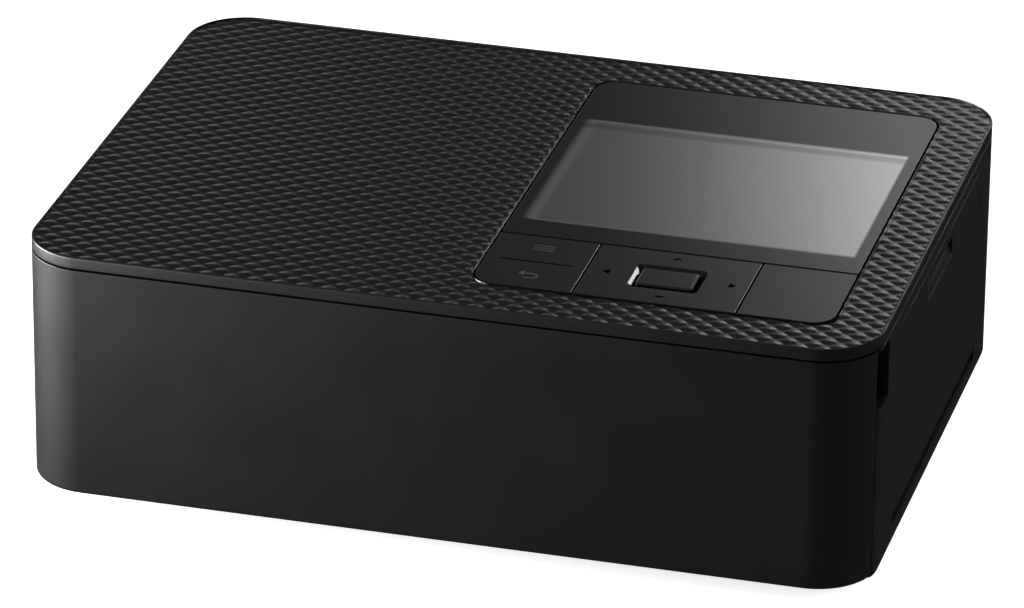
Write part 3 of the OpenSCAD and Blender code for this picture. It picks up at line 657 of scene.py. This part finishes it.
def prism_x(poly, x0, x1, name="cutter"):
    M = Mesh()
    a = M.add([(x0, y, z) for y, z in poly])
    b = M.add([(x1, y, z) for y, z in poly])
    M.bridge(a, b)
    M.face(a[::-1])
    M.face(b)
    return M.build(name, [])

def front_cover():
    M = shell(front_path, 2.8, SIDE_TOP, "front", r_low=0.8, r_high=0.14)
    ob = M.build("front_cover_shell", [MAT["case_plastic"]], smooth_deg=40)
    # the lower rear corners follow a circle about the hinge
    poly = [(-62.2 + 5.0 * math.cos(math.radians(a)), 5.0 + 5.0 * math.sin(math.radians(a))) for a in range(0, -91, -10)]
    cutter = prism_x([(-50, 5.0)] + poly + [(-62.2, -4), (-50, -4)], -HW - 2, HW + 2)
    cut(ob, [cutter], 40)
    P = Mesh()
    P.box(-76, -65.2, 3.0, 76, -62.4, 4.4, r=0.3)
    for s in (-1, 1):
        a, b = sorted((s * 75.3 - 1.1, s * 75.3 + 1.1))
        P.cyl((-62.2, 5.0), 1.9, a, b, axis="x", ch=0.2)
        P.box(a, -65.2, 3.2, b, -62.3, 6.4, r=0.3)
        P.box(s * 60 - 3, -65, 50, s * 60 + 3, -62.6, 51.2, r=0.3)
    for x in (-50, -25, 25, 50):
        P.box(x - 0.6, -65, 8, x + 0.6, -63.6, 46, r=0.2)
    p = P.build("front_cover_ribs", [MAT["case_plastic"]])
    cut(p, [bar((-62.2, 5.0), 1.05, -80, 80, axis="x"), block(-80.4, -64.4, 2, -76.4, -60, 4.7), block(76.4, -64.4, 2, 80.4, -60, 4.7)], 40)
    stand(ob, "front_cover")
    extra(p, "front_cover")
    return ob


def finger_pocket(M, s):
    """The walls behind the finger notch."""
    M.box(s * 86.4, -56.5, 40, s * 85.4, -50.4, 54.3, r=0.2)
    M.box(s * 89.4, -56.5, 40.1, s * 85.5, -50.4, 41, r=0.2)


def right_side():
    M = shell(side_path, 2.4, SIDE_TOP, "right", r_low=0.8, r_high=0.12, args=(1,))
    ob = M.build("right_side_shell", [MAT["case_plastic"]], smooth_deg=40)
    cut(ob, [block(82, -40.25, 6.3, 95, 43.25, 51.75, r=0.6), block(86.4, -62, 41, 95, -49, 54.0)], 40)
    P = Mesh()
    finger_pocket(P, 1)
    P.box(87.4, -43.3, 4.6, 89.5, 46.3, 5.4, r=0.2)
    for y in (-43.4, 43.4):
        P.box(86.6, y, 4.7, 90, y + 3, 12, r=0.3)
    p = P.build("right_side_pocket", [MAT["case_plastic"]])
    stand(ob, "right_side_cover")
    extra(p, "root")


def left_side():
    M = shell(side_path, 2.4, SIDE_TOP, "left", r_low=0.8, r_high=0.12, args=(-1,))
    ob = M.build("left_side_shell", [MAT["case_plastic"]], smooth_deg=40)
    cs = [block(-95, -36, 9.4, -86, -10.4, 12.4, r=0.5), block(-95, 2, 8.6, -86, 12, 12.4, r=1.0), block(-95, -62, 41, -86.4, -49, 54.0)]
    for k in range(10):
        cs.append(block(-95, 22 + k * 3, 18, -86, 23.4 + k * 3, 34))
    cut(ob, cs, 40)
    P = Mesh()
    finger_pocket(P, -1)
    p = P.build("left_side_pocket", [MAT["case_plastic"]])
    stand(ob, "left_side_cover")
    extra(p, "root")


def rear():
    M = shell(rear_path, 2.4, SIDE_TOP, "rear", r_low=0.8, r_high=0.3, args=(1,))
    ob = M.build("rear_shell", [MAT["case_plastic"]], smooth_deg=40)
    cs = [block(-34, 60, 27.1, 72, 70, 30.7), bar((-62, 13.4), 4.2, 60, 70, axis="y")]
    for k in range(14):
        cs.append(block(4 + k * 4, 60, 38, 5.6 + k * 4, 70, 48))
    cut(ob, cs, 40)
    stand(ob, "rear_cover")


def rest_of_casing():
    stand(bevelled("base_pan", 0.25), "base_pan")
    stand(bevelled("rubber_feet", 0.5), "rubber_feet")
    stand(bevelled("front_frame", 0.22), "front_frame")
    # the lip of the base pan that runs forward under the foot of the front cover
    M = Mesh()
    q = [(-56.8, 3.2), (-59.45, 3.2), (-59.62, 3.13), (-59.7, 2.95), (-59.7, 2.65), (-59.62, 2.47), (-59.45, 2.4), (-56.8, 2.4)]
    a = M.add([(-84.0 - 0.5 * (y + 59.7), y, z) for y, z in q])
    b = M.add([(84.0 + 0.5 * (y + 59.7), y, z) for y, z in q])
    M.bridge(a, b)
    M.face(a[::-1])
    M.face(b)
    extra(M.build("base_front_lip", [MAT["case_plastic"]], smooth_deg=50), BODY_OF["base_pan"])
    stand(bevelled("ink_door", 0.16, smooth_deg=30), "ink_door")
    # the finger recess in the ink door slopes in from its foot to a deep upper lip
    M = Mesh()
    q = [(86.9, 44.3), (91.06, 44.3), (91.06, 44.6), (90.85, 45.3), (90.5, 46.1), (90.0, 46.9), (89.4, 47.6), (88.7, 48.2), (86.9, 48.4)]
    a = M.add([(x, -11.2, z) for x, z in q])
    b = M.add([(x, 14.2, z) for x, z in q])
    M.bridge(a, b)
    M.face(a[::-1])
    M.face(b)
    extra(M.build("ink_door_finger_ramp", [MAT["case_plastic"]], smooth_deg=25), BODY_OF["ink_door"])


# ------------------------------------------------------------------ control panel
def panel_piece(x0, y0, x1, y1, top, bottom, r_edge=0.22, corners=(0, 0, 0, 0), extra_r=0.35, east=1.0):
    """One part of the panel. corners gives the radius of each corner, anticlockwise from the front left."""
    def loop(i, z):
        pts = []
        e = i * east
        cs = [(x0 + i, y0 + i, 180, corners[0], 1, 1), (x1 - e, y0 + i, 270, corners[1], -1, 1),
              (x1 - e, y1 - i, 0, corners[2], -1, -1), (x0 + i, y1 - i, 90, corners[3], 1, -1)]
        for cx, cy, a0, r, sx, sy in cs:
            rr = max(r, extra_r) - i
            rr = max(rr, 0.05)
            n = 16 if r else 5
            for k in range(n + 1):
                a = math.radians(a0 + 90 * k / n)
                pts.append((cx + sx * rr + rr * math.cos(a), cy + sy * rr + rr * math.sin(a), z))
        return pts
    prof = [(r_edge * (1 - math.cos(math.radians(a))), top - r_edge * (1 - math.sin(math.radians(a)))) for a in (0, 22, 45, 67, 90)]
    return [loop(0, bottom)] + [loop(i, z) for i, z in prof]


HG = 0.12                          # how far the panel stands in from its opening, beyond the gap


def panel():
    hk = 0.19                      # half of the visible seam between neighbouring keys
    # window
    M = Mesh()
    ids = M.loft(panel_piece(PX0 + HG, PSEAM + hk, PX1 - HG, PY1 - HG, PZ, PZ - 1.6, corners=(0, 0, PR, PR), east=0.3))
    M.face(ids[0][::-1])
    top = ids[-1]
    pane = M.add(rloop(4.8, -22.4, 78.4, 33.6, 0.5, PZ, 4))
    vs = [Vector(M.v[k][:2]) for k in top + pane]
    es = [(k, (k + 1) % len(top)) for k in range(len(top))] + [(len(top) + k, len(top) + (k + 1) % len(pane)) for k in range(len(pane))]
    r = delaunay_2d_cdt(vs, es, [], 0, 1e-5)
    gid = M.add([(p.x, p.y, PZ) for p in r[0]])
    for f in r[2]:
        x = sum(r[0][k].x for k in f) / 3
        y = sum(r[0][k].y for k in f) / 3
        if sd_rr(x, y, 4.8, -22.4, 78.4, 33.6, 0.5) > 0:
            M.face([gid[k] for k in f])
    M.mi = 1
    M.face(pane)
    w = M.build("panel_window_glass", [MAT["panel_gloss"], window_mat()], smooth_deg=40)
    stand(w, "panel_window")
    # menu and back key
    M = Mesh()
    ids = M.loft(panel_piece(PX0 + HG, PY0 + HG, KX1 - hk, PSEAM - hk, PZ, PZ - 2, corners=(PR, 0, 0, 0)))
    M.face(ids[0][::-1])
    M.face(ids[-1])
    for y in (-34.3, -47.7):
        M.cyl((14.25, y), 1.6, 54.55, 55.6, ch=0.1)
    k = M.build("menu_back_key_cap", [MAT["key_gloss"], MAT["key_print"]], smooth_deg=40)
    cut(k, [block(6.55, -41.56, PZ - 0.6, 21.95, -41.04, PZ + 1, r=0.15)] + icons("menu"), 40)
    stand(k, "menu_back_key")
    # nav pad with the groove round its middle key
    M = Mesh()
    ids = M.loft(panel_piece(KX1 + hk, PY0 + HG, KX2 - hk, PSEAM - hk, PZ, PZ - 2))
    M.face(ids[0][::-1])
    M.face(ids[-1])
    for d in ((0, 9.8), (0, -9.8), (13, 0), (-13, 0)):
        M.cyl((NAV[0] + d[0], NAV[1] + d[1]), 1.4, 54.6, 55.6, ch=0.1)
    k = M.build("nav_pad_cap", [MAT["key_gloss"]], smooth_deg=40)
    # a hole with a sloping lip, so that the groove catches the light
    G = Mesh()
    x, y = NAV
    ids = G.loft([rloop(x - 6.5, y - 4.6, x + 6.5, y + 4.6, 1.1, PZ - 3, 8), rloop(x - 6.5, y - 4.6, x + 6.5, y + 4.6, 1.1, PZ - 1.08, 8),
                  rloop(x - 7.45, y - 5.55, x + 7.45, y + 5.55, 1.6, PZ - 0.13, 8), rloop(x - 7.66, y - 5.76, x + 7.66, y + 5.76, 1.8, PZ + 0.03, 8),
                  rloop(x - 7.66, y - 5.76, x + 7.66, y + 5.76, 1.8, PZ + 1, 8)])
    G.face(ids[0][::-1])
    G.face(ids[-1])
    cut(k, [G.build("cutter", [])] + icons("nav"), 40)
    stand(k, "nav_pad")
    # middle key: raised rim, shallow dished top
    M = Mesh()
    hx, hy = 6.1, 4.2
    ids = M.loft([rloop(x - hx, y - hy, x + hx, y + hy, 0.9, PZ - 2.2, 8), rloop(x - hx, y - hy, x + hx, y + hy, 0.9, PZ - 0.5, 8),
                  rloop(x - hx + 0.12, y - hy + 0.12, x + hx - 0.12, y + hy - 0.12, 0.8, PZ - 0.2, 8),
                  rloop(x - hx + 0.5, y - hy + 0.5, x + hx - 0.5, y + hy - 0.5, 0.6, PZ, 8),
                  rloop(x - hx + 0.75, y - hy + 0.75, x + hx - 0.75, y + hy - 0.75, 0.5, PZ - 0.04, 8)])
    M.face(ids[0][::-1])
    M.face(ids[-1])
    M.cyl(NAV, 1.8, 54.1, 55.4, ch=0.1)
    k = M.build("ok_key_cap", [MAT["key_gloss"]], smooth_deg=40)
    stand(k, "ok_key")
    # right-hand key
    M = Mesh()
    ids = M.loft(panel_piece(KX2 + hk, PY0 + HG, PX1 - HG, PSEAM - hk, PZ, PZ - 2, corners=(0, PR, 0, 0), east=0.3))
    M.face(ids[0][::-1])
    M.face(ids[-1])
    M.cyl((70, -41.4), 2.0, 54.6, 55.6, ch=0.1)
    k = M.build("print_key_cap", [MAT["key_gloss"]], smooth_deg=40)
    stand(k, "print_key")


def prism_z(poly, z0, z1):
    M = Mesh()
    a = M.add([(x, y, z0) for x, y in poly])
    b = M.add([(x, y, z1) for x, y in poly])
    M.bridge(a, b)
    M.face(a[::-1])
    M.face(b)
    return M.build("cutter", [])


def icons(which):
    """Shallow engraved marks: three bars, a return arrow and four direction arrows. All of them generic."""
    z0, z1 = PZ - 0.05, PZ + 1
    out = []
    if which == "menu":
        for k in (-1, 0, 1):
            out.append(block(11.9, -34.3 + k * 1.05 - 0.2, z0, 16.6, -34.3 + k * 1.05 + 0.2, z1))
        cx, cy = 14.25, -47.9
        out.append(prism_z([(cx - 2.3, cy + 0.75), (cx - 0.9, cy + 1.9), (cx - 0.9, cy + 1.0), (cx + 1.1, cy + 1.0), (cx + 1.9, cy + 0.75), (cx + 2.3, cy + 0.1),
                            (cx + 2.3, cy - 0.6), (cx + 1.9, cy - 1.2), (cx + 1.1, cy - 1.5), (cx - 0.9, cy - 1.5), (cx - 0.9, cy - 1.05), (cx + 1.0, cy - 1.05),
                            (cx + 1.6, cy - 0.8), (cx + 1.8, cy - 0.4), (cx + 1.8, cy + 0.0), (cx + 1.55, cy + 0.35), (cx + 1.0, cy + 0.5), (cx - 0.9, cy + 0.5), (cx - 0.9, cy - 0.4)], z0, z1))
    else:
        for (x, y), d in (((42.3, -31.9), (0, 1)), ((42.9, -51.0), (0, -1)), ((29.3, -41.6), (-1, 0)), ((56.2, -41.4), (1, 0))):
            t = (-d[1], d[0])
            z = PZ - (0.6 if d[0] else 0.18)
            out.append(prism_z([(x + d[0] * 0.8, y + d[1] * 0.8), (x - d[0] * 0.8 + t[0] * 1.25, y - d[1] * 0.8 + t[1] * 1.25),
                                (x - d[0] * 0.8 - t[0] * 1.25, y - d[1] * 0.8 - t[1] * 1.25)], z, z1))
    if which == "menu":
        for c in out:
            c.data.materials.append(MAT["key_print"])
            c["transfer"] = 1
    return out


def window_mat():
    """Polished smoked window: black printed surround, and the switched-off screen showing through the middle, with
    painted shade round its soft edges and a painted shade band and painted highlight line at its back edge.
    """
    mt, nt, b, tc = new_mat("panel_window_glass")
    sep = nt.nodes.new("ShaderNodeSeparateXYZ")
    nt.links.new(tc.outputs["Object"], sep.inputs[0])

    def edge(axis, at, soft, rising):
        r = nt.nodes.new("ShaderNodeMapRange")
        r.interpolation_type = "SMOOTHSTEP"
        r.inputs["From Min"].default_value = (at - soft / 2) * MM
        r.inputs["From Max"].default_value = (at + soft / 2) * MM
        r.inputs["To Min"].default_value = 0.0 if rising else 1.0
        r.inputs["To Max"].default_value = 1.0 if rising else 0.0
        nt.links.new(sep.outputs[axis], r.inputs[0])
        return r.outputs[0]

    def mul(a, c):
        n = nt.nodes.new("ShaderNodeMath")
        n.operation = "MULTIPLY"
        nt.links.new(a, n.inputs[0])
        nt.links.new(c, n.inputs[1])
        return n.outputs[0]

    # the screen, with soft edges that are painted shade under the smoked glass; sharper at the back, where a painted
    # highlight line and a painted shade band in front of it stand for the glint and shadow at the recessed edge
    screen_with_painted_edge_shade = mul(mul(edge(0, 7.4, 4.4, True), edge(0, 77.2, 0.8, False)), mul(edge(1, -20.6, 1.6, True), edge(1, 32.6, 1.3, False)))
    # painted shade: a darker band just in front of the screen's back edge, standing for the shadow of the surround
    painted_shade_band = mul(edge(1, 28.5, 1.8, True), edge(1, 31.1, 1.0, False))
    # painted highlight: a bright line along the screen's back edge, standing for the glint on the recessed screen's rim
    painted_highlight_line = edge(1, 31.4, 0.8, True)
    fine = noise(nt, tc, 5000, 1.0, 0.5)
    slow = noise(nt, tc, 40, 2.0, 0.5)
    c1 = ramp(nt, slow.outputs["Fac"], (0.0028, 0.0028, 0.0029), (0.0034, 0.0034, 0.0035))
    c2 = ramp(nt, slow.outputs["Fac"], (0.316, 0.316, 0.311), (0.331, 0.331, 0.326))
    # colour of the painted shade band
    painted_shade_colour = ramp(nt, slow.outputs["Fac"], (0.166, 0.166, 0.162), (0.176, 0.176, 0.172))

    def mix(f, a, c):
        n = nt.nodes.new("ShaderNodeMix")
        n.data_type = "RGBA"
        nt.links.new(f, n.inputs["Factor"])
        nt.links.new(a, n.inputs[6])
        nt.links.new(c, n.inputs[7])
        return n.outputs[2]

    # colour of the painted highlight line
    painted_highlight_colour = ramp(nt, slow.outputs["Fac"], (0.337, 0.337, 0.331), (0.349, 0.349, 0.343))
    # the screen colour, with the painted shade band and the painted highlight line laid into it
    inner = mix(painted_highlight_line, mix(painted_shade_band, c2.outputs[0], painted_shade_colour.outputs[0]), painted_highlight_colour.outputs[0])
    # the screen mask, soft edges of painted shade included, sets the colour, metallic and coat
    nt.links.new(mix(screen_with_painted_edge_shade, c1.outputs[0], inner), b.inputs["Base Color"])
    nt.links.new(screen_with_painted_edge_shade, b.inputs["Metallic"])
    nt.links.new(screen_with_painted_edge_shade, b.inputs["Coat Weight"])
    rr = maprange(nt, slow.outputs["Fac"], 0.12, 0.14)
    nt.links.new(rr.outputs[0], b.inputs["Roughness"])
    b.inputs["Specular IOR Level"].default_value = 0.42
    b.inputs["Coat Roughness"].default_value = 0.05
    b.inputs["Coat IOR"].default_value = 1.5
    bp = bump(nt, fine.outputs["Fac"], 0.0000006)
    nt.links.new(bp.outputs[0], b.inputs["Normal"])
    return mt


top_cover()
front_cover()
right_side()
left_side()
rear()
rest_of_casing()
panel()

# ------------------------------------------------------------------ studio
def stage_obj(name, verts, faces, mat, z=0):
    me = bpy.data.meshes.new(name)
    me.from_pydata(verts, [], faces)
    me.materials.append(mat)
    ob = bpy.data.objects.new(name, me)
    ROOT_COL.objects.link(ob)
    return ob


def floor_mat():
    mt, nt, b, tc = new_mat("studio_floor")
    n = noise(nt, tc, 3, 2, 0.5)
    r = ramp(nt, n.outputs["Fac"], (0.84, 0.84, 0.84), (0.86, 0.86, 0.86))
    nt.links.new(r.outputs[0], b.inputs["Base Color"])
    b.inputs["Roughness"].default_value = 0.9
    b.inputs["Specular IOR Level"].default_value = 0.0
    b.inputs["Emission Color"].default_value = (1, 1, 1, 1)
    b.inputs["Emission Strength"].default_value = 0.7
    return mt


stage_obj("studio_floor", [(-12, -12, 0), (12, -12, 0), (12, 12, 0), (-12, 12, 0)], [(0, 1, 2, 3)], floor_mat())

world = bpy.data.worlds.new("studio")
world.use_nodes = True
bg = world.node_tree.nodes["Background"]
bg.inputs[0].default_value = (1, 1, 1, 1)
bg.inputs[1].default_value = 0.03
bpy.context.scene.world = world


def soft(name, loc, target, size, power, spread=180, color=(1, 1, 1), size_y=None):
    l = bpy.data.lights.new(name, "AREA")
    l.energy = power
    l.color = color
    l.size = size
    if size_y:
        l.shape = "RECTANGLE"
        l.size_y = size_y
    l.spread = math.radians(spread)
    o = bpy.data.objects.new(name, l)
    ROOT_COL.objects.link(o)
    o.location = loc
    d = Vector(target) - Vector(loc)
    o.rotation_mode = "QUATERNION"
    o.rotation_quaternion = d.to_track_quat("-Z", "Y")
    o.visible_camera = False
    return o


# The floor lights the object but isn't mirrored in it, as on a paper sweep that is cut away.
bpy.data.objects["studio_floor"].visible_glossy = False
P = {"overhead": 9.0, "left_front": 0.46, "left_side": 6.0, "right_fill": 5.0,
     "board_back": 0.87, "board_top": 0.35, "board_high": 1.0, "sweep_right": 1.0, "sweep_left": 1.0, "edge_lamp": 13.0}
soft("overhead", (0.0, 0.1, 1.5), (0, 0, 0.0), 1.6, P["overhead"]).visible_glossy = False
soft("left_front", (-0.19, -0.22, 0.05), (-0.08, -0.06, 0.03), 0.10, P["left_front"], size_y=0.08)
soft("left_side", (-0.40, -0.115, 0.06), (-0.09, -0.05, 0.02), 0.30, P["left_side"], size_y=0.16)
soft("right_fill", (0.60, 0.12, 0.15), (0.09, 0.0, 0.03), 0.40, P["right_fill"]).visible_glossy = False


def card(name, centre, across, normal, half, lo, hi, power, curve=2.0):
    """A glowing board, brighter to one side, that only shows in what is polished. across is its bright direction."""
    mt = bpy.data.materials.new(name)
    mt.use_nodes = True
    nt = mt.node_tree
    for n in list(nt.nodes):
        nt.nodes.remove(n)
    out = nt.nodes.new("ShaderNodeOutputMaterial")
    em = nt.nodes.new("ShaderNodeEmission")
    tc = nt.nodes.new("ShaderNodeTexCoord")
    sep = nt.nodes.new("ShaderNodeSeparateXYZ")
    mr = nt.nodes.new("ShaderNodeMapRange")
    mr.inputs["From Min"].default_value = lo
    mr.inputs["From Max"].default_value = hi
    mr.inputs["To Min"].default_value = 0.0
    mr.inputs["To Max"].default_value = 1.0
    sq = nt.nodes.new("ShaderNodeMath")
    sq.operation = "POWER"
    sq.inputs[1].default_value = curve
    ma = nt.nodes.new("ShaderNodeMath")
    ma.operation = "MULTIPLY_ADD"
    ma.inputs[1].default_value = power[1] - power[0]
    ma.inputs[2].default_value = power[0]
    nt.links.new(tc.outputs["Object"], sep.inputs[0])
    nt.links.new(sep.outputs[0], mr.inputs[0])
    nt.links.new(mr.outputs[0], sq.inputs[0])
    nt.links.new(sq.outputs[0], ma.inputs[0])
    nt.links.new(ma.outputs[0], em.inputs["Strength"])
    nt.links.new(em.outputs[0], out.inputs[0])
    a, c = half
    ob = stage_obj(name, [(-a, -c, 0), (a, -c, 0), (a, c, 0), (-a, c, 0)], [(0, 1, 2, 3)], mt)
    x = Vector(across).normalized()
    z = Vector(normal).normalized()
    m4 = Matrix((x, z.cross(x), z)).transposed().to_4x4()
    m4.translation = Vector(centre)
    ob.matrix_world = m4
    ob.visible_camera = False
    ob.visible_diffuse = False
    ob.visible_shadow = False
    return ob


# the boards behind the printer, mirrored by the window, the keys and the grain
k = P["board_back"]
card("board_back", (-0.104, 0.393, 0.249), (0.9666, 0.2564, 0), (0.232, -0.874, -0.427), (0.30, 0.062), 0.0064, 0.1076, (0.144 * k, 1.22 * k))
k = P["board_top"]
card("board_top", (-0.15, 0.0, 0.75), (1, 0, 0), (0.15, 0, -1), (0.40, 0.34), -0.3, 0.3, (0.7 * k, 1.3 * k))
k = P["board_high"]
card("board_high", (-0.10, 0.30, 0.50), (1, 0, 0), (0.1, -0.6, -0.8), (0.34, 0.17), -0.3, 0.3, (0.10 * k, 0.16 * k))
k = P["sweep_right"]
card("sweep_right", (-0.06, 1.0, 0.320), (1, 0, 0), (0, -1, 0), (0.20, 0.065), -0.19, -0.02, (0.15 * k, 2.1 * k), 2.0)
k = P["sweep_left"]
card("sweep_left", (-0.42, 1.0, 0.250), (1, 0, 0), (0, -1, 0), (0.24, 0.075), 0.18, 0.03, (0.15 * k, 0.75 * k), 1.3)
card("edge_lamp", (0.30, 0.50, 0.185), (0.874, -0.427, 0), (-0.427, -0.874, -0.26), (0.055, 0.035), -0.05, 0.05, (P["edge_lamp"], P["edge_lamp"]))

sc_ = bpy.context.scene
sc_.view_settings.view_transform = "Standard"
sc_.view_settings.look = "None"
sc_.view_settings.exposure = 0.0
